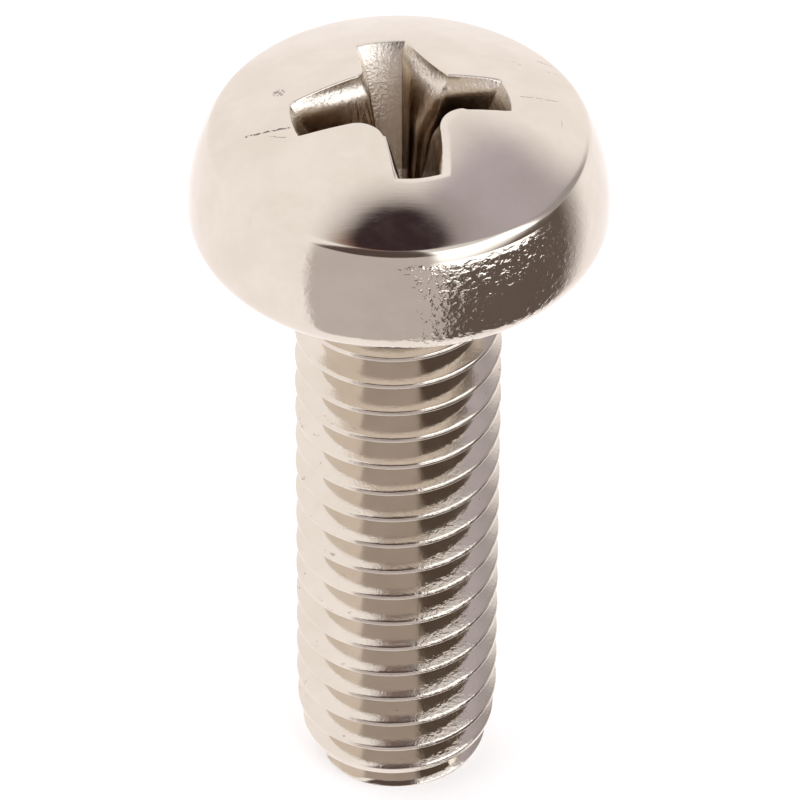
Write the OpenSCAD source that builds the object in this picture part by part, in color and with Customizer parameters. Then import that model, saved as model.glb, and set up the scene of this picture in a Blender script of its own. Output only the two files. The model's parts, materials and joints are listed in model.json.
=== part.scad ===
// Pan head machine screw with a cross recess, one cold-headed and rolled piece.
// It stands on its flat end: the origin is the centre of that end, and +Z runs up
// through the shank to the head. The shank is drawn plain, at the size over its
// thread crests. All sizes are in millimetres.

/* [Shank] */
// Diameter over the thread crests
thread_d = 2.95; // [2.4:0.05:4]
// Length from the flat end to the underside of the head
shank_len = 9.7; // [5:0.1:30]
// Length of the chamfer at the flat end
end_chamfer_len = 0.8; // [0.2:0.05:1.5]
// How far the chamfer draws in from the thread crests
end_chamfer_depth = 0.2; // [0.05:0.01:0.5]
// Radius of the hollow fillet under the head
neck_r = 0.1; // [0.05:0.01:0.25]

/* [Head] */
// Largest diameter of the head
head_d = 5.9; // [4.9:0.05:7.5]
// Height from the underside to the top of the crown
head_h = 2.25; // [1.8:0.05:3]
// Radius of the crown, the low dome on top
crown_r = 6; // [4.6:0.1:10]
// Radius of the barrel curve of the side
side_r = 2.6; // [2.2:0.1:6]
// Radius of the edge between the underside and the side
edge_r = 0.4; // [0.1:0.02:0.6]
// Radius of the shoulder between the side and the crown
shoulder_r = 0.15; // [0.05:0.01:0.4]

/* [Cross recess] */
// Width across two opposite wings, where they meet the crown
recess_span = 3; // [2.4:0.05:3.6]
// Depth of the recess at its centre, from the top of the crown
recess_depth = 2.1; // [1.5:0.05:2.5]
// Width of a wing, where it meets the crown
wing_w = 0.64; // [0.4:0.02:0.9]
// Slope of a wing's two walls, from upright
wing_draft = 4.5; // [0:0.5:8]
// Slope of a wing's outer end, from upright
wing_slope = 26.5; // [15:0.5:35]
// Full angle of the point at the bottom of the recess
point_angle = 138; // [110:1:160]
// Width across the flats that blunt the corners between wings, at the crown
corner_flats = 1.36; // [1:0.02:1.7]
// Slope of those flats, from upright
corner_slope = 9; // [0:0.5:14]
// Turn of the recess about the screw's axis
recess_turn = 10; // [0:1:89]

/* [Hidden] */
$fn = 96;
nickel = [0.80, 0.76, 0.71];
// How far the recess tool stands above the crown
above = 0.3;

thread_r = thread_d / 2;
end_flat_r = thread_r - end_chamfer_depth;
head_r = head_d / 2;
bearing_r = head_r - edge_r;

// Centres of the arcs that make the head's outline, from the underside's centre
crown_c = [0, head_h - crown_r];
side_c = [head_r - side_r, edge_r];
shoulder_c = meet(crown_c, crown_r - shoulder_r, side_c, side_r - shoulder_r);
corner = meet(crown_c, crown_r, side_c, side_r);
crown_touch = along(crown_c, shoulder_c, crown_r);
side_touch = along(side_c, shoulder_c, side_r);

// Heights on the recess tool, from the underside of the head
rim_z = crown_c.y + sqrt(crown_r ^ 2 - (recess_span / 2) ^ 2);
tool_z = head_h + above;
bottom_z = head_h - recess_depth;
point_rise = 1 / tan(point_angle / 2);
floor_r = (recess_span / 2 / tan(wing_slope) - (rim_z - bottom_z))
    / (1 / tan(wing_slope) - point_rise);
floor_z = bottom_z + floor_r * point_rise;

// Right-hand crossing of two circles, given by centre and radius
function meet(a, ra, b, rb) =
    let (
        gap = norm(b - a),
        u = (b - a) / gap,
        s = (gap ^ 2 + ra ^ 2 - rb ^ 2) / (2 * gap)
    )
    a + s * u + sqrt(ra ^ 2 - s ^ 2) * [u.y, -u.x];

// Point at a distance from a, on the line from a towards b
function along(a, b, distance) = a + (b - a) / norm(b - a) * distance;

// Half width at height z of a tapered bar that is width wide at the rim
function half_width(width, slope, z) = width / 2 + (z - rim_z) * tan(slope);

// Right half of the head's outline, standing on its underside
module head_section() {
    difference() {
        intersection() {
            translate(crown_c) circle(crown_r);
            translate(side_c) circle(side_r);
            translate([0, edge_r]) square([head_r, head_h]);
        }
        polygon([shoulder_c, crown_touch, 2 * corner - shoulder_c, side_touch]);
    }
    translate(shoulder_c) circle(shoulder_r);
    translate([bearing_r, edge_r]) circle(edge_r);
    square([bearing_r, edge_r]);
}

// Straight bar across the recess, with sloping walls
module tapered_bar(width, slope) {
    wide = half_width(width, slope, tool_z);
    narrow = half_width(width, slope, bottom_z);
    rotate([90, 0, 90])
        linear_extrude(2 * recess_span, center = true)
            polygon([[-wide, tool_z], [-narrow, bottom_z], [narrow, bottom_z], [wide, tool_z]]);
}

// Four flats that blunt the corners between the wings
module corner_relief() {
    intersection() {
        rotate(45) tapered_bar(corner_flats, corner_slope);
        rotate(-45) tapered_bar(corner_flats, corner_slope);
    }
}

// Outer form of the recess tool: the wings' sloping ends and the point below them
module recess_taper() {
    tool_r = floor_r + (tool_z - floor_z) * tan(wing_slope);
    translate([0, 0, floor_z]) cylinder(h = tool_z - floor_z, r1 = floor_r, r2 = tool_r);
    translate([0, 0, bottom_z]) cylinder(h = floor_z - bottom_z, r1 = 0, r2 = floor_r);
}

// Everything that the driver's tip fills
module recess() {
    rotate(recess_turn)
        intersection() {
            recess_taper();
            union() {
                tapered_bar(wing_w, wing_draft);
                rotate(90) tapered_bar(wing_w, wing_draft);
                corner_relief();
            }
        }
}

// Head with its recess, standing on its underside
module head() {
    difference() {
        rotate_extrude() head_section();
        recess();
    }
}

// Shank with the chamfer at its flat end, standing on that end
module shank() {
    cylinder(h = end_chamfer_len, r1 = end_flat_r, r2 = thread_r);
    translate([0, 0, end_chamfer_len]) cylinder(h = shank_len - end_chamfer_len, r = thread_r);
}

// Hollow fillet between the shank and the underside of the head
module neck() {
    translate([0, 0, shank_len - neck_r])
        rotate_extrude()
            difference() {
                translate([thread_r - neck_r, 0]) square([2 * neck_r, neck_r]);
                translate([thread_r + neck_r, 0]) circle(neck_r);
            }
}

module machine_screw() {
    color(nickel) {
        shank();
        neck();
        translate([0, 0, shank_len]) head();
    }
}

machine_screw();
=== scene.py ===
import json
import math

import bpy
import numpy as np
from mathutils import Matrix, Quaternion, Vector


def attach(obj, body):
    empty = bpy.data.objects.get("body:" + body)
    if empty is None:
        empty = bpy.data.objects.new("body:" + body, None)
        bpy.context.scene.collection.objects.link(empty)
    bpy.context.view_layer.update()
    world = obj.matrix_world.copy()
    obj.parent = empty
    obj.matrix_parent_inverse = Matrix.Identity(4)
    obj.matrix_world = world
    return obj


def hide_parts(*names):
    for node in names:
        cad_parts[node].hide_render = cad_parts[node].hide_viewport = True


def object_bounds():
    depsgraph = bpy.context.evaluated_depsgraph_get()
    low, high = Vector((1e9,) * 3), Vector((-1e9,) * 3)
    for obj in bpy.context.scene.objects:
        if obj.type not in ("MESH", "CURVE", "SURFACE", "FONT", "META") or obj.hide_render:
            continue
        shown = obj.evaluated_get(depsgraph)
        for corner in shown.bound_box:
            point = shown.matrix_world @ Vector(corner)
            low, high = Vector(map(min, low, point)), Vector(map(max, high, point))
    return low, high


# A pan head machine screw, nickel plated, standing on its flat end. The head, its
# cross recess, the rolled thread and the flat end are one closed mesh. Its sizes are
# in millimetres, and the mesh is scaled to metres once, at the end.

MM = 0.001

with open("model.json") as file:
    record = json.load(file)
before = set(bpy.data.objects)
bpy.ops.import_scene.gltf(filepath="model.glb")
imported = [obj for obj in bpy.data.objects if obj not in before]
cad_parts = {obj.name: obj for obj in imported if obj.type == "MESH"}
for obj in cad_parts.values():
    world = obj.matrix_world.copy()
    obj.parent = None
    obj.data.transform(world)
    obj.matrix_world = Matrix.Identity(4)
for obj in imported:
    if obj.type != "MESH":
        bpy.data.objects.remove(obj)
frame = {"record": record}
cad_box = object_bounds()
mounts = {m["name"]: m for m in frame["record"]["mounts"]}

# Overall sizes, from the frame
TOP = cad_box[1].z / MM
HEAD_R = cad_box[1].x / MM
SHANK_LEN = mounts["head_seat"]["pos_m"][2] / MM
CREST_R = mounts["thread"]["dims"]["r_mm"]

# Head
HEAD_H = 2.25
CROWN_R = 6.0
SIDE_R = 2.6
EDGE_R = 0.4
SHOULDER_R = 0.2
NECK_R = 0.1
# Out to this radius the crown's rings pass from the recess outline to circles
CROWN_BLEND_R = 1.8

# Cross recess. The drafts and slopes are tangents.
SPAN = 3.0
WING_W = 0.64
WING_DRAFT = math.tan(math.radians(4.5))
WING_SLOPE = math.tan(math.radians(25.8))
POINT_RISE = 1 / math.tan(math.radians(138 / 2))
RECESS_DEPTH = 2.1
RECESS_TURN = math.radians(10.2)
# The walls are inset, and lean out over the last stretch below the rim, the wing ends less
LEAD = 0.06
LEAD_DEPTH = 0.2
LEAD_INSET = 0.03
LEAD_AT_END = 0.5
# Corners between the wings: right and rear, rear and left, left and front, front and right
CORNER_R = (0.4, 0.14, 0.38, 0.42)
CORNER_SHRINK = 0.11
LEAST_CORNER = 0.03
LEAST_SIDE = 0.02
# The first corner is chipped to a wide slope along the rear wing
FLARE_ALONG_REAR = 0.75
FLARE_DEPTH = 0.75
FLARE_STRAIGHT = 0.65
# How far the wing sides are worn outwards next to each corner, first and second side
WORN_FIRST = (0.08, 0.03, 0.0, 0.09)
WORN_SECOND = (0.0, 0.25, 0.0, -0.02)
WORN_DEPTH = 1.6
# The wings' own extra turn in degrees, reach and half width: right, rear, left, front
WING_TURN = (2.0, 0.0, 0.0, 1.2)
WING_REACH = (0.05, 0.0, 0.01, 0.0)
WING_WIDEN = (0.0, 0.0, 0.0, -0.03)
# The rim is rolled over everywhere, and more around the front wing
ROLL = 0.03
FRONT_ROLL = 0.06
FRONT_ROLL_ANGLE = math.radians(-66)
FRONT_ROLL_FULL = math.radians(12)
FRONT_ROLL_END = math.radians(32)

# Thread. A share is a distance from the middle of a crest, as a part of the pitch.
PITCH = 0.5
THREAD_DEPTH = 0.335
BLANK_R = 1.335
FIRST_CREST = 8.44
RUNOUT_FROM = 8.75
RUNOUT_TO = 9.45
CREST_INSET = 0.003
CREST_WAVE = 0.005
CREST_ROUND = 0.02
CREST_SHARE = 0.085
ROOT_ROUND = 0.02
ROOT_SHARE = 0.43
END_TAPER = 0.2
END_TAPER_LEN = 1.2
END_SHIFT = 0.4
END_CUT_SOFT = 0.015
# Shares between which the crest's waves fade out, and between which its looks do
CREST_WAVE_FADE = (0.04, 0.12)
CREST_LOOK_FADE = (0.12, 0.3)
# Thread rows nearer than this to the neck or the flat end join it
SLIVER = 0.007
# Rings on the flat end: share of its radius, and height
END_RINGS = ((1, 0.004), (0.97, 0.0), (0.6, 0.0), (0.3, 0.0))
SHARP_ANGLE = math.radians(42)

# Looks. The band on the head's side: radii where it fades in, and heights above the
# underside where it fades out. It is peened between two angles from the front, in degrees.
BAND_RADII = (2.6, 2.74)
BAND_TOP = (1.42, 1.5)
BAND_CLEAR = 0.01
PEENED_FROM = (-8, 10)
PEENED_TO = (36, 58)
PEENED_HEIGHTS = (0.4, 1.2)
UNPEENED = 0.08
# Painted shade: the recess's colour darkens between two shares of its depth, and its wing ends hardly do
PAINTED_SHADE_DEPTHS = (0.06, 0.28)
PAINTED_SHADE_ON_WING_END = 0.1
# The outermost rings of the rolled rim look like the crown
CROWN_LIKE_RINGS = 3

# Points along one quarter of the recess outline: wing end, wing side, corner, side, end
QUARTER = (5, 11, 18, 11, 5)
AROUND = 4 * sum(QUARTER)
CORNER = 2
WING_ENDS = (0, 4)
# Steps of the mesh up the recess wall, out to the circles, and along each arc of the head
WALL_STEPS = 22
BLEND_STEPS = 9
EVEN_STEPS = 12
CROWN_STEPS = 12
SHOULDER_STEPS = 6
SIDE_STEPS = 14
EDGE_STEPS = 10
NECK_STEPS = 4


def smoothstep(low, high, value):
    """0 below low, 1 above high, with a smooth rise between them."""
    t = np.clip((value - low) / (high - low), 0, 1)
    return t * t * (3 - 2 * t)


def polar(radius, angle, z):
    """Points at the given radii, angles and heights, as an array of rows."""
    radius, angle, z = np.broadcast_arrays(radius, angle, z)
    return np.stack([radius * np.cos(angle), radius * np.sin(angle), z], axis=1)


def crown_z(radius):
    """Height of the crown at a distance from the axis, never above the solid."""
    return np.minimum(TOP, SHANK_LEN + HEAD_H - CROWN_R + np.sqrt(CROWN_R**2 - radius**2))


# ---------------------------------------------------------------- recess

RIM_Z = crown_z(SPAN / 2)
BOTTOM_Z = SHANK_LEN + HEAD_H - RECESS_DEPTH


def outline_steps():
    """For each outline point: its quarter, its stretch of that quarter, and how far along it."""
    quarter, stretch, along = [], [], []
    for q in range(4):
        for s, count in enumerate(QUARTER):
            for i in range(count):
                quarter.append(q)
                stretch.append(s)
                along.append(i / count)
    return np.array(quarter), np.array(stretch), np.array(along)


QUARTERS, STRETCHES, ALONG = outline_steps()
ON_WING_END = np.isin(STRETCHES, WING_ENDS)


def fade(depth, end):
    """1 at the rim, falling evenly to 0 at the depth where it ends."""
    return np.clip(1 - depth / end, 0, 1)


def wing_form(depth, grow):
    """Half width and reach of each outline point's wing, at a depth below the rim."""
    wing_of_point = (QUARTERS + (STRETCHES > CORNER)) % 4
    lead = LEAD * fade(depth, LEAD_DEPTH) ** 2 - LEAD_INSET
    width = WING_W / 2 + np.take(WING_WIDEN, wing_of_point) - depth * WING_DRAFT + grow + lead
    reach = SPAN / 2 + np.take(WING_REACH, wing_of_point) - depth * WING_SLOPE + grow
    return width, reach + LEAD_AT_END * lead


def corner_curve(flare):
    """How far a corner has come from the first side and the second: an arc, straight if chipped."""
    turn = ALONG * math.pi / 2
    straight = FLARE_STRAIGHT * flare
    from_second = (1 - np.sin(turn)) * (1 - straight) + (1 - ALONG) * straight
    from_first = (1 - np.cos(turn)) * (1 - straight) + ALONG * straight
    return from_second, from_first


def recess_outline(z, grow):
    """x and y of the recess wall at height z, moved outwards into the metal by grow."""
    depth = RIM_Z - z
    wing, reach = wing_form(depth, grow)
    worn = fade(depth, WORN_DEPTH)
    first = wing + np.take(WORN_FIRST, QUARTERS) * worn
    second = wing + np.take(WORN_SECOND, QUARTERS) * worn
    flare = np.where(QUARTERS == 0, fade(depth, FLARE_DEPTH), 0)
    corner = np.take(CORNER_R, QUARTERS) - depth * CORNER_SHRINK - grow
    corner = np.maximum(corner, LEAST_CORNER)
    side_end = np.sqrt(reach**2 - wing**2)
    a = np.minimum(corner, side_end - second - LEAST_SIDE)
    b = np.minimum(corner + FLARE_ALONG_REAR * flare, side_end - first - LEAST_SIDE)
    bow_x, bow_y = corner_curve(flare)
    tip = np.arcsin(wing / reach)
    cases = [STRETCHES == stretch for stretch in range(len(QUARTER))]
    x = np.select(
        cases,
        [
            reach * np.cos(tip * ALONG),
            side_end + (second + a - side_end) * ALONG,
            second + a * bow_x,
            second + (wing - second) * ALONG,
            reach * np.sin(tip * (1 - ALONG)),
        ],
    )
    y = np.select(
        cases,
        [
            reach * np.sin(tip * ALONG),
            wing + (first - wing) * ALONG,
            first + b * bow_y,
            first + b + (side_end - first - b) * ALONG,
            reach * np.cos(tip * (1 - ALONG)),
        ],
    )
    angle = np.arctan2(y, x) + QUARTERS * math.pi / 2
    quarter_turns = np.arange(5) * math.pi / 2
    angle += RECESS_TURN + np.radians(np.interp(angle, quarter_turns, (*WING_TURN, WING_TURN[0])))
    distance = np.hypot(x, y)
    return distance * np.cos(angle), distance * np.sin(angle)


def wall_meets(surface, grow):
    """Points where the recess wall, moved out by grow, meets a surface z = surface(radius)."""
    z = np.full(AROUND, RIM_Z)
    rounds = 12
    for _ in range(rounds):
        x, y = recess_outline(z, grow)
        z = surface(np.hypot(x, y))
    return np.stack([x, y, z], axis=1)


def point_z(radius):
    """Height of the cone at the bottom of the recess."""
    return BOTTOM_Z + radius * POINT_RISE


def rim_rounding():
    """How far the rim is rolled over at each outline point."""
    x, y = recess_outline(np.full(AROUND, RIM_Z), 0)
    away = np.arctan2(y, x) - FRONT_ROLL_ANGLE
    away = np.abs(np.arctan2(np.sin(away), np.cos(away)))
    return ROLL + FRONT_ROLL * (1 - smoothstep(FRONT_ROLL_FULL, FRONT_ROLL_END, away))


def recess_rings():
    """Rings from the point of the recess, up its walls and over its rim."""
    foot = wall_meets(point_z, 0)
    rings = []
    for share in (0.25, 0.5, 0.75):
        ring = foot * [share, share, 1]
        ring[:, 2] = point_z(np.hypot(ring[:, 0], ring[:, 1]))
        rings.append(ring)
    rings.append(foot)
    rolled = rim_rounding()
    rim = wall_meets(crown_z, 0)
    for i in range(1, WALL_STEPS + 1):
        z = foot[:, 2] + (rim[:, 2] - rolled - foot[:, 2]) * i / WALL_STEPS
        x, y = recess_outline(z, 0)
        rings.append(np.stack([x, y, z], axis=1))
    start, end = rings[-1], wall_meets(crown_z, rolled)
    for t in (0.2, 0.4, 0.6, 0.8, 1.0):
        rings.append((1 - t) ** 2 * start + 2 * t * (1 - t) * rim + t * t * end)
    return rings


# ---------------------------------------------------------------- head


def crossing(a, ra, b, rb):
    """The right-hand crossing of two circles in the (radius, z) plane."""
    a, b = np.array(a), np.array(b)
    gap = np.linalg.norm(b - a)
    u = (b - a) / gap
    s = (gap**2 + ra**2 - rb**2) / (2 * gap)
    return a + s * u + math.sqrt(ra**2 - s**2) * np.array([u[1], -u[0]])


def direction(centre, point):
    """Angle in degrees from +radius of the line from a centre to a point."""
    return math.degrees(math.atan2(point[1] - centre[1], point[0] - centre[0]))


def arc(centre, radius, start, end, steps):
    """Points of an arc in the (radius, z) plane, after its first one. Angles are from +radius."""
    turns = [math.radians(start + (end - start) * i / steps) for i in range(1, steps + 1)]
    return [(centre[0] + radius * math.cos(t), centre[1] + radius * math.sin(t)) for t in turns]


def head_profile():
    """The head's outline from the crown, over the shoulder, side and edge, to the neck."""
    crown_c = (0, SHANK_LEN + HEAD_H - CROWN_R)
    side_c = (HEAD_R - SIDE_R, SHANK_LEN + EDGE_R)
    edge_c = (HEAD_R - EDGE_R, SHANK_LEN + EDGE_R)
    shoulder_c = crossing(crown_c, CROWN_R - SHOULDER_R, side_c, SIDE_R - SHOULDER_R)
    crown_start = math.degrees(math.acos(CROWN_BLEND_R / CROWN_R))
    crown_end = direction(crown_c, shoulder_c)
    side_start = direction(side_c, shoulder_c)
    profile = arc(crown_c, CROWN_R, crown_start, crown_end, CROWN_STEPS)
    profile += arc(shoulder_c, SHOULDER_R, crown_end, side_start, SHOULDER_STEPS)
    profile += arc(side_c, SIDE_R, side_start, 0, SIDE_STEPS)
    profile += arc(edge_c, EDGE_R, 0, -90, EDGE_STEPS)
    neck_out = BLANK_R + NECK_R
    for share in (0.33, 0.67, 1):
        profile.append((edge_c[0] + (neck_out - edge_c[0]) * share, SHANK_LEN))
    profile += arc((neck_out, SHANK_LEN - NECK_R), NECK_R, 90, 180, NECK_STEPS)
    return profile


def head_rings(rim):
    """Rings from the recess rim over the head to the shank, and the even angles they end on."""
    start = np.unwrap(np.arctan2(rim[:, 1], rim[:, 0]))
    even = start[0] + np.arange(AROUND) * 2 * math.pi / AROUND
    rings = []
    for i in range(1, BLEND_STEPS + 1):
        share = i / BLEND_STEPS
        ring = rim * (1 - share) + polar(CROWN_BLEND_R, start, 0) * share
        ring[:, 2] = crown_z(np.hypot(ring[:, 0], ring[:, 1]))
        rings.append(ring)
    for i, (radius, z) in enumerate(head_profile()):
        share = min(1, (i + 1) / EVEN_STEPS)
        rings.append(polar(radius, start * (1 - share) + even * share, z))
    return rings, even


# ---------------------------------------------------------------- shank


def flank_depth(share):
    """Depth below the crest of a thread flank, at a share of the pitch from the crest."""
    rise = THREAD_DEPTH - ROOT_ROUND - CREST_ROUND
    return CREST_ROUND + rise * (share - CREST_SHARE) / (ROOT_SHARE - CREST_SHARE)


def thread_steps():
    """Steps over one pitch, from root to root: shares of a pitch above the crest, and depths."""
    root = (ROOT_SHARE, THREAD_DEPTH - ROOT_ROUND)
    # Rows close to the rounded crest and root keep the flanks straight in the shading
    by_crest = (0.105, flank_depth(0.105))
    by_root = (0.41, flank_depth(0.41))
    steps = [(-0.5, THREAD_DEPTH), (-root[0], root[1]), (-by_root[0], by_root[1])]
    steps += [(-by_crest[0], by_crest[1]), (-CREST_SHARE, CREST_ROUND)]
    # The crest has a fine seam near its upper edge, where the rolled metal met
    steps += [(-0.062, 0.004), (-0.04, 0), (0, 0), (0.022, 0.01), (0.042, 0.001), (0.062, 0.005)]
    steps += [(CREST_SHARE, CREST_ROUND), by_crest]
    # More rows on the flank that shows, which the tapered end cuts into
    steps += [(share, flank_depth(share)) for share in (0.14, 0.17, 0.21, 0.3)]
    steps += [by_root, root]
    shares, depths = zip(*steps)
    return np.array(shares), np.array(depths)


def ripple(turn):
    """A small unevenness that runs on along the thread, from -1 to 1."""
    return 0.45 * np.sin(7.3 * turn) + 0.3 * np.sin(17.9 * turn + 1) + 0.25 * np.sin(43.1 * turn + 2)


def shank_radius(depth, share, z, turn):
    """Radius of the threaded shank, with the run-out below the head and the tapered end."""
    crest = 1 - smoothstep(*CREST_WAVE_FADE, abs(share))
    uneven = CREST_WAVE * crest * ripple(turn)
    taper = END_TAPER * np.clip(1 - z / END_TAPER_LEN, 0, 1) ** 2
    full = CREST_R - CREST_INSET - END_SHIFT * taper - depth + uneven
    runout = smoothstep(RUNOUT_FROM, RUNOUT_TO, z)
    radius = full * (1 - runout) + BLANK_R * runout
    # The taper also cuts the crests, with a soft edge
    cut = CREST_R - taper
    blend = np.clip(0.5 + 0.5 * (cut - radius) / END_CUT_SOFT, 0, 1)
    return cut * (1 - blend) + radius * blend - END_CUT_SOFT * blend * (1 - blend)


def thread_surface(top_ring, even, first):
    """Vertices and faces between the neck and the flat end, in rows that follow the helix.

    Corners on the neck or the flat end are given as ("top" or "end", column). The third
    value says for each vertex how near it is to a crest.
    """
    shares, depths = thread_steps()
    per_turn = len(shares)
    # Angle from the front, which lies towards -Y, growing towards +X
    front = even + math.pi / 2
    top = top_ring[0, 2]
    turns_below = int((FIRST_CREST + 2 * PITCH) / PITCH) + 2
    turns_above = int((top - FIRST_CREST) / PITCH) + 2
    count = (turns_below + turns_above) * per_turn
    points, ids, crest = [], {}, []

    def shank_point(row, column):
        turn_no, step = divmod(row, per_turn)
        helix = front[column] / (2 * math.pi)
        z = FIRST_CREST + PITCH * (turn_no - turns_below + shares[step] + helix)
        return z, step, turn_no - helix

    def vertex(row, column):
        if column == AROUND:
            row, column = row + per_turn, 0
        z, step, turn = shank_point(row, column)
        if z > top - SLIVER:
            return ("top", column)
        if z < SLIVER:
            return ("end", column)
        if (row, column) not in ids:
            ids[row, column] = first + len(points)
            radius = shank_radius(depths[step], shares[step], z, turn * 2 * math.pi)
            angle = even[column]
            points.append((radius * math.cos(angle), radius * math.sin(angle), z))
            on_thread = 1 - smoothstep(RUNOUT_FROM, RUNOUT_TO, z)
            near = 1 - smoothstep(*CREST_LOOK_FADE, abs(shares[step]))
            crest.append(float(on_thread * near))
        return ids[row, column]

    faces = []
    for row in range(count - per_turn):
        for column in range(AROUND):
            loop = [vertex(row, column), vertex(row, column + 1)]
            loop += [vertex(row + 1, column + 1), vertex(row + 1, column)]
            loop = [v for i, v in enumerate(loop) if v != loop[i - 1]]
            if len(loop) > 2:
                faces.append(loop)
    return points, faces, crest


def end_radius(even):
    """Radius of the flat end at each angle, with the notch where the groove runs out."""
    shares, depths = thread_steps()
    phase = (-FIRST_CREST / PITCH - (even + math.pi / 2) / (2 * math.pi) + 0.5) % 1 - 0.5
    depth = np.interp(phase, np.append(shares, 0.5), np.append(depths, THREAD_DEPTH))
    return shank_radius(depth, phase, 0.0, even)


# ---------------------------------------------------------------- the screw


def ring_faces(first_ring, rings):
    """Quads between rings that follow one another in the vertex list."""
    faces = []
    for k in range(rings - 1):
        a = first_ring + k * AROUND
        b = a + AROUND
        for j in range(AROUND):
            i = (j + 1) % AROUND
            faces.append((a + j, b + j, b + i, a + i))
    return faces


def fan(centre, ring_start):
    """Triangles from a centre vertex to a ring."""
    return [(centre, ring_start + j, ring_start + (j + 1) % AROUND) for j in range(AROUND)]


def side_band(points):
    """How peened the head's side is at each point, most on its right front."""
    x, y, z = points.T
    height = z - SHANK_LEN
    side = smoothstep(*BAND_RADII, np.hypot(x, y)) * (height > BAND_CLEAR)
    side *= 1 - smoothstep(*BAND_TOP, height)
    from_front = np.degrees(np.arctan2(x, -y))
    peened = smoothstep(*PEENED_FROM, from_front) * (1 - smoothstep(*PEENED_TO, from_front))
    peened *= 0.5 + 0.5 * smoothstep(*PEENED_HEIGHTS, height)
    return side * (UNPEENED + (1 - UNPEENED) * peened)


def add_attributes(mesh, points, inside, shank_start, crest):
    """Values on the mesh that tell the plating where the recess, the crests and the side are, and how
    much painted shade the recess gets towards its bottom.
    """
    names = ("recess", "painted_recess_shade", "wing_end", "side_band", "crest")
    values = {name: np.zeros(len(points)) for name in names}
    values["recess"][: 1 + (len(inside) - CROWN_LIKE_RINGS) * AROUND] = 1
    values["side_band"][:] = side_band(points)
    values["crest"][shank_start : shank_start + len(crest)] = crest
    # Painted shade: the wing sides darken towards the bottom of the recess, the wing ends hardly
    heights = np.array(inside)[:, :, 2]
    depth = (np.max(heights, axis=0) - heights) / (RIM_Z - BOTTOM_Z)
    strength = np.where(ON_WING_END, PAINTED_SHADE_ON_WING_END, 1.0)
    painted_shade = strength * smoothstep(*PAINTED_SHADE_DEPTHS, depth)
    in_recess = slice(1, 1 + painted_shade.size)
    values["painted_recess_shade"][0] = 1
    values["painted_recess_shade"][in_recess] = painted_shade.ravel()
    values["wing_end"][in_recess] = np.tile(ON_WING_END, len(inside)) * values["recess"][in_recess]
    for name in names:
        attribute = mesh.attributes.new(name, "FLOAT", "POINT")
        attribute.data.foreach_set("value", values[name].astype(np.float32))


def screw_mesh():
    """The whole screw as one closed mesh."""
    inside = recess_rings()
    outside, even = head_rings(inside[-1])
    rings = inside + outside
    points = [(0, 0, BOTTOM_Z)]
    for ring in rings:
        points.extend(map(tuple, ring))
    faces = fan(0, 1) + ring_faces(1, len(rings))
    shank_start = len(points)
    shank_points, shank_faces, crest = thread_surface(rings[-1], even, shank_start)
    points.extend(shank_points)
    end_start = len(points)
    radius = end_radius(even)
    for share, z in END_RINGS:
        points.extend(map(tuple, polar(radius * share, even, z)))
    points.append((0, 0, 0))
    places = {"top": shank_start - AROUND, "end": end_start}
    for loop in shank_faces:
        faces.append([places[v[0]] + v[1] if isinstance(v, tuple) else v for v in loop])
    faces += ring_faces(end_start, len(END_RINGS))
    faces += fan(len(points) - 1, len(points) - 1 - AROUND)

    points = np.array(points)
    mesh = bpy.data.meshes.new("machine_screw_body")
    mesh.from_pydata((points * MM).tolist(), [], [list(map(int, f)) for f in faces])
    mesh.validate()
    mesh.shade_smooth()
    mesh.set_sharp_from_angle(angle=SHARP_ANGLE)
    add_attributes(mesh, points, inside, shank_start, crest)
    return mesh


# ---------------------------------------------------------------- materials


class Nodes:
    """Short ways to add and join the nodes of one material or world."""

    def __init__(self, tree):
        self.tree = tree
        tree.nodes.clear()

    def add(self, kind, inputs=None, **settings):
        node = self.tree.nodes.new(kind)
        for name, value in settings.items():
            setattr(node, name, value)
        for name, value in (inputs or {}).items():
            self.join(value, node.inputs[name])
        return node

    def join(self, value, socket):
        if isinstance(value, bpy.types.NodeSocket):
            self.tree.links.new(value, socket)
        else:
            socket.default_value = value

    def math(self, operation, a, b=0.0, clamp=False):
        return self.add("ShaderNodeMath", {0: a, 1: b}, operation=operation, use_clamp=clamp).outputs[0]

    def vector(self, operation, a, b=(0, 0, 0)):
        node = self.add("ShaderNodeVectorMath", {0: a, 1: b}, operation=operation)
        return node.outputs["Value"] if operation in ("DOT_PRODUCT", "LENGTH") else node.outputs["Vector"]

    def scaled(self, vector, scale):
        node = self.add("ShaderNodeVectorMath", {0: vector, "Scale": scale}, operation="SCALE")
        return node.outputs["Vector"]

    def stretched(self, vector, scales):
        return self.vector("MULTIPLY", vector, scales)

    def ramp(self, value, low, high, start=0.0, end=1.0):
        inputs = {"Value": value, "From Min": low, "From Max": high, "To Min": start, "To Max": end}
        return self.add("ShaderNodeMapRange", inputs, interpolation_type="SMOOTHSTEP").outputs["Result"]

    def mix(self, share, a, b):
        # Inputs 6 and 7 and output 2 of a mix node are its colours
        node = self.add("ShaderNodeMix", {"Factor": share, 6: a, 7: b}, data_type="RGBA")
        return node.outputs[2]

    def noise(self, vector, scale, detail=2.0, roughness=0.5):
        inputs = {"Vector": vector, "Scale": scale, "Detail": detail, "Roughness": roughness}
        return self.add("ShaderNodeTexNoise", inputs).outputs["Fac"]

    def attribute(self, name):
        return self.add("ShaderNodeAttribute", attribute_name=name).outputs["Fac"]


# Scratches on the crown: start, end, width and strength
SCRATCHES = (
    ((-2.1, -0.4), (-1.5, -0.41), 0.022, 0.85),
    ((-1.76, -0.51), (-1.56, -0.6), 0.012, 0.5),
    ((1.67, 0.35), (2.2, 0.46), 0.012, 0.5),
    ((1.57, 1.24), (1.68, 1.2), 0.014, 0.3),
    ((1.93, 1.44), (2.11, 1.42), 0.014, 0.35),
    ((2.05, 1.2), (2.18, 1.2), 0.014, 0.3),
    ((2.24, 0.02), (2.24, -0.14), 0.01, 0.3),
)
PIT_PLACE = (-1.67, 0.39, 0)


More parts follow.
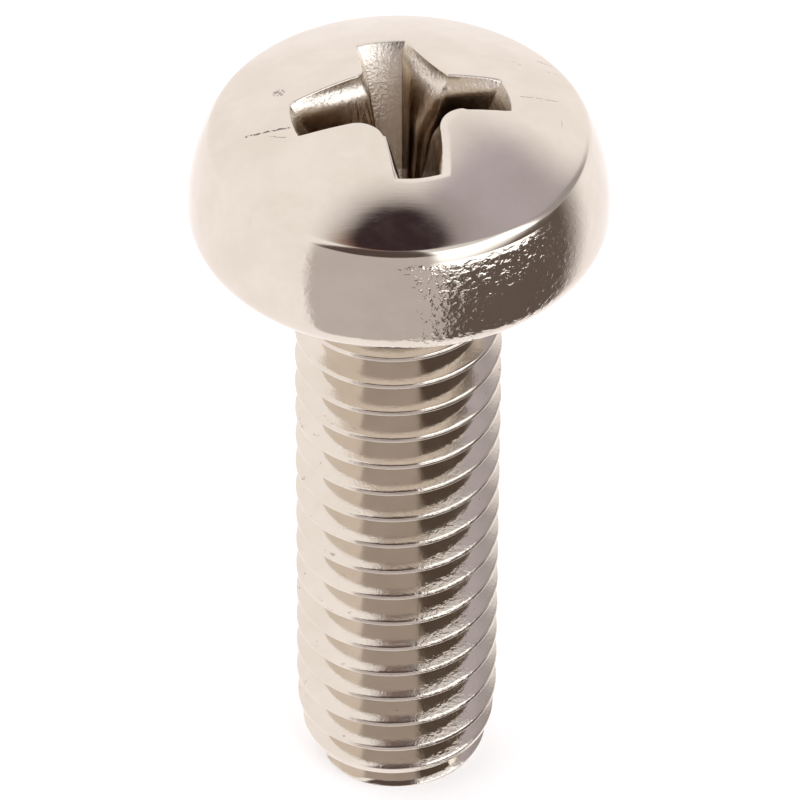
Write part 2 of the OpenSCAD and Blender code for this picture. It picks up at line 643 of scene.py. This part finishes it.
def segment_distance(n, place, start, end):
    """Distance in the XY plane from a straight mark that runs from start to end."""
    run = (end[0] - start[0], end[1] - start[1], 0)
    length_squared = run[0] ** 2 + run[1] ** 2
    offset = n.vector("SUBTRACT", place, (start[0], start[1], 0))
    share = n.math("DIVIDE", n.vector("DOT_PRODUCT", offset, run), length_squared, clamp=True)
    nearest = n.scaled(run, share)
    return n.vector("LENGTH", n.vector("SUBTRACT", offset, nearest))


def crown_marks(n, mm):
    """0 to 1 where the crown has a dark scratch or a pit."""
    flat = n.stretched(mm, (1, 1, 0))
    wander = n.add("ShaderNodeTexNoise", {"Vector": mm, "Scale": 5.0, "Detail": 3.0}).outputs["Color"]
    shifted = n.vector("SUBTRACT", wander, (0.5, 0.5, 0.5))
    place = n.vector("ADD", flat, n.stretched(shifted, (0.06, 0.06, 0)))
    scratched = 0.0
    for start, end, width, strength in SCRATCHES:
        distance = segment_distance(n, place, start, end)
        line = n.ramp(distance, width * 0.3, width, strength, 0.0)
        scratched = n.math("MAXIMUM", scratched, line)
    broken = n.noise(mm, 16.0, 3.0, 0.6)
    scratched = n.math("MULTIPLY", scratched, n.ramp(broken, 0.4, 0.56))
    from_pit = n.vector("LENGTH", n.vector("SUBTRACT", place, PIT_PLACE))
    speckle = n.ramp(n.noise(mm, 34.0, 1.0), 0.47, 0.6)
    pitted = n.math("MULTIPLY", n.ramp(from_pit, 0.06, 0.1, 0.75, 0.0), speckle)
    return n.math("MAXIMUM", scratched, pitted)


def tinted(n, colour, where, strength, tint):
    """The colour, turned towards a tint by a strength where a value is high."""
    return n.mix(n.math("MULTIPLY", where, strength), colour, (*tint, 1))


def plating_colour(n, mm, marks):
    """Pale warm metal, a little uneven, grimy in the recess with painted shade towards its bottom, and
    stained along the crests.
    """
    cloud = n.ramp(n.noise(mm, 1.3, 4.0, 0.6), 0.3, 0.7)
    colour = n.mix(cloud, (0.70, 0.645, 0.57, 1), (0.655, 0.60, 0.52, 1))
    grime = n.ramp(n.noise(mm, 7.0, 4.0, 0.65), 0.52, 0.75)
    in_recess = n.math("MULTIPLY", n.attribute("recess"), 0.2)
    colour = tinted(n, colour, grime, in_recess, (0.30, 0.26, 0.21))
    # Painted shade: brown darkening towards the bottom of the recess
    colour = tinted(n, colour, n.attribute("painted_recess_shade"), 0.9, (0.35, 0.26, 0.18))
    ticks = n.ramp(n.noise(n.stretched(mm, (1, 1, 2.5)), 7.0, 3.0, 0.7), 0.65, 0.74)
    on_crest = n.math("MULTIPLY", n.attribute("crest"), 0.6)
    colour = tinted(n, colour, ticks, on_crest, (0.24, 0.19, 0.15))
    return n.mix(marks, colour, (0.13, 0.11, 0.09, 1))


def plating_roughness(n, mm, marks):
    """Polished all over, a little smeared, satin in the recess and in the scratches."""
    smear = n.noise(n.stretched(mm, (1.5, 1.5, 4)), 2.0, 5.0, 0.6)
    roughness = n.ramp(smear, 0.3, 0.75, 0.055, 0.14)
    roughness = n.math("ADD", roughness, n.math("MULTIPLY", n.attribute("recess"), 0.12))
    return n.math("ADD", roughness, n.math("MULTIPLY", marks, 0.3), clamp=True)


def side_relief(n, mm):
    """The peened band on the head's side."""
    peened = n.ramp(n.noise(n.stretched(mm, (1, 1, 1.4)), 10.5, 2.0, 0.5), 0.4, 0.85)
    mottle = n.noise(mm, 3.0, 3.0, 0.5)
    height = n.math("ADD", n.math("MULTIPLY", peened, 0.85), mottle)
    return n.math("MULTIPLY", height, n.attribute("side_band"))


def recess_relief(n, mm, grain):
    """Drawn wing sides and gritty wing ends."""
    wing_end = n.attribute("wing_end")
    drawn = n.noise(n.stretched(mm, (1, 1, 0.12)), 16.0, 3.0, 0.6)
    streaky = n.math("MULTIPLY", drawn, n.ramp(wing_end, 0.0, 1.0, 0.7, 0.3))
    gritty = n.math("MULTIPLY", grain, n.ramp(wing_end, 0.0, 1.0, 0.03, 0.6))
    return n.math("MULTIPLY", n.math("ADD", streaky, gritty), n.attribute("recess"))


def crest_relief(n, mm, grain):
    """Grain on the crests, and scuffs on those of the right front, low on the shank."""
    parts = n.add("ShaderNodeSeparateXYZ", {"Vector": mm}).outputs
    from_left = n.ramp(parts["X"], 0.1, 0.5)
    across = n.math("MULTIPLY", from_left, n.ramp(parts["X"], 0.95, 1.25, 1.0, 0.1))
    scuffed = n.math("MULTIPLY", across, n.ramp(parts["Z"], 3.5, 7.5, 1.0, 0.1))
    scuffs = n.noise(n.stretched(mm, (1, 1, 2)), 14.0, 2.0, 0.6)
    scuffs = n.math("MULTIPLY", n.math("MULTIPLY", scuffs, scuffed), 0.75)
    height = n.math("ADD", scuffs, n.math("MULTIPLY", grain, 0.2))
    return n.math("MULTIPLY", height, n.attribute("crest"))


def plating_normal(n, mm, marks):
    """Normals of the relief, with faint polishing lines on all of it."""
    grain = n.noise(mm, 22.0, 4.0, 0.65)
    lines = n.noise(n.stretched(mm, (0.4, 5, 1)), 4.0, 4.0, 0.7)
    relief = n.math("ADD", side_relief(n, mm), recess_relief(n, mm, grain))
    relief = n.math("ADD", relief, n.math("MULTIPLY", lines, 0.03))
    relief = n.math("ADD", relief, crest_relief(n, mm, grain))
    relief = n.math("SUBTRACT", relief, marks)
    bump = n.add("ShaderNodeBump", {"Height": relief, "Strength": 1.0, "Distance": 0.012 * MM})
    return bump.outputs["Normal"]


def nickel():
    """Bright nickel plating: mirror-like, with a peened side, scored recess and rolled crests."""
    material = bpy.data.materials.new("nickel_plating")
    material.use_nodes = True
    n = Nodes(material.node_tree)
    place = n.add("ShaderNodeTexCoord").outputs["Object"]
    mm = n.scaled(place, 1 / MM)
    marks = crown_marks(n, mm)
    shader = n.add("ShaderNodeBsdfPrincipled", {"Metallic": 1.0})
    n.join(plating_colour(n, mm, marks), shader.inputs["Base Color"])
    n.join(plating_roughness(n, mm, marks), shader.inputs["Roughness"])
    n.join(plating_normal(n, mm, marks), shader.inputs["Normal"])
    n.add("ShaderNodeOutputMaterial", {"Surface": shader.outputs[0]})
    return material


def paper():
    """The pale floor: matt white, lit a little from within so that it stays plain."""
    material = bpy.data.materials.new("paper_floor")
    material.use_nodes = True
    n = Nodes(material.node_tree)
    shader = n.add("ShaderNodeBsdfPrincipled", {"Roughness": 0.9})
    shader.inputs["Base Color"].default_value = (0.9, 0.9, 0.9, 1)
    shader.inputs["Emission Color"].default_value = (1, 1, 1, 1)
    shader.inputs["Emission Strength"].default_value = 0.4
    n.add("ShaderNodeOutputMaterial", {"Surface": shader.outputs[0]})
    return material


# ---------------------------------------------------------------- studio

# The studio's soft-edged cards as the screw sees them, each over the ones before it:
# azimuth from the front towards the right, elevation, colour, and the softness of the
# two sides and of the two ends. All angles are in degrees.
ALL_ROUND = (-400, 400)
SHADOW = (0.16, 0.125, 0.11)
CARDS = (
    # Grey table edge in front, with brown shadow beside it
    ((-47, 26), (-54, 24), (0.69, 0.63, 0.63), 3, 3),
    ((60, 106), (-60, 8), SHADOW, 14, 8),
    ((24, 84), (-60, 8), SHADOW, 4, 5),
    # Grey wall on the right, lilac wall behind it
    ((82, 132), (6, 76), (0.46, 0.42, 0.44), 12, 6),
    ((90, 160), (41, 80), (0.58, 0.53, 0.58), 14, 9),
    # Softbox on the right, dimmer at its top
    ((22, 84), (40, 69), (0.9, 0.88, 0.9), 5, 5),
    ((20, 80), (10, 52), (2.2, 2.2, 2.28), 4, 6),
    # Dark camera in front, grey, brown and dark overhead
    ((-48, 20), (23, 120), (0.12, 0.085, 0.08), 4, 3),
    (ALL_ROUND, (74, 120), (0.35, 0.30, 0.30), 1, 9),
    ((-110, -22), (74, 84), (0.42, 0.24, 0.17), 14, 4),
    (ALL_ROUND, (77, 120), (0.05, 0.03, 0.035), 1, 3),
)


def within(n, value, limits, soft):
    """1 between two limits, with soft edges."""
    low, high = limits
    rise = n.ramp(value, low - soft, low + soft)
    fall = n.ramp(value, high - soft, high + soft, 1.0, 0.0)
    return n.math("MULTIPLY", rise, fall)


def studio():
    """White studio with dark, grey and bright cards. The camera itself sees plain white."""
    world = bpy.data.worlds.new("studio")
    world.use_nodes = True
    bpy.context.scene.world = world
    n = Nodes(world.node_tree)
    sight = n.add("ShaderNodeTexCoord").outputs["Generated"]
    axes = n.add("ShaderNodeSeparateXYZ", {"Vector": sight}).outputs
    towards = n.math("MULTIPLY", axes["Y"], -1.0)
    azimuth = n.math("DEGREES", n.math("ARCTAN2", axes["X"], towards))
    elevation = n.math("DEGREES", n.math("ARCSINE", axes["Z"]))
    sky = n.mix(n.ramp(elevation, -30, 30), (1.24, 1.18, 1.20, 1), (1.20, 1.15, 1.16, 1))
    for sides, ends, colour, soft_side, soft_end in CARDS:
        across = within(n, azimuth, sides, soft_side)
        up = within(n, elevation, ends, soft_end)
        sky = n.mix(n.math("MULTIPLY", across, up), sky, (*colour, 1))
    seen = n.add("ShaderNodeLightPath").outputs["Is Camera Ray"]
    shown = n.mix(seen, sky, (1.2, 1.2, 1.2, 1))
    background = n.add("ShaderNodeBackground", {"Color": shown, "Strength": 1.0})
    n.add("ShaderNodeOutputWorld", {"Surface": background.outputs[0]})


def floor():
    """A wide pale floor at the screw's flat end, in metres."""
    half = 2.0
    mesh = bpy.data.meshes.new("floor")
    corners = [(-half, -half, 0), (half, -half, 0), (half, half, 0), (-half, half, 0)]
    mesh.from_pydata(corners, [], [(0, 1, 2, 3)])
    mesh.materials.append(paper())
    plane = bpy.data.objects.new("floor", mesh)
    bpy.context.scene.collection.objects.link(plane)
    plane.visible_glossy = False


def camera():
    """A long lens that looks down on the screw from the front. Its lengths are in metres."""
    elevation = math.radians(41.0)
    roll = math.radians(0.3)
    distance = 0.1022
    aim_right = 0.027 * MM
    aim_share_of_height = 0.5404
    data = bpy.data.cameras.new("camera")
    data.lens = 322.6
    data.sensor_width = 36.0
    data.clip_start = 0.005
    data.clip_end = 20.0
    back = Vector((0, -math.cos(elevation), math.sin(elevation)))
    target = Vector((aim_right, 0, cad_box[1].z * aim_share_of_height))
    view = bpy.data.objects.new("camera", data)
    bpy.context.scene.collection.objects.link(view)
    view.rotation_mode = "QUATERNION"
    view.location = target + back * distance
    turn = Quaternion((0, 0, 1), roll)
    view.rotation_quaternion = (-back).to_track_quat("-Z", "Y") @ turn
    bpy.context.scene.camera = view


def screw():
    """The screw's visible piece, which stands for the CAD solid."""
    mesh = screw_mesh()
    mesh.materials.append(nickel())
    piece = bpy.data.objects.new("machine_screw_body", mesh)
    bpy.context.scene.collection.objects.link(piece)
    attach(piece, "root")
    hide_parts("machine_screw")


camera()
studio()
floor()
screw()
bpy.context.scene.view_settings.view_transform = "Standard"
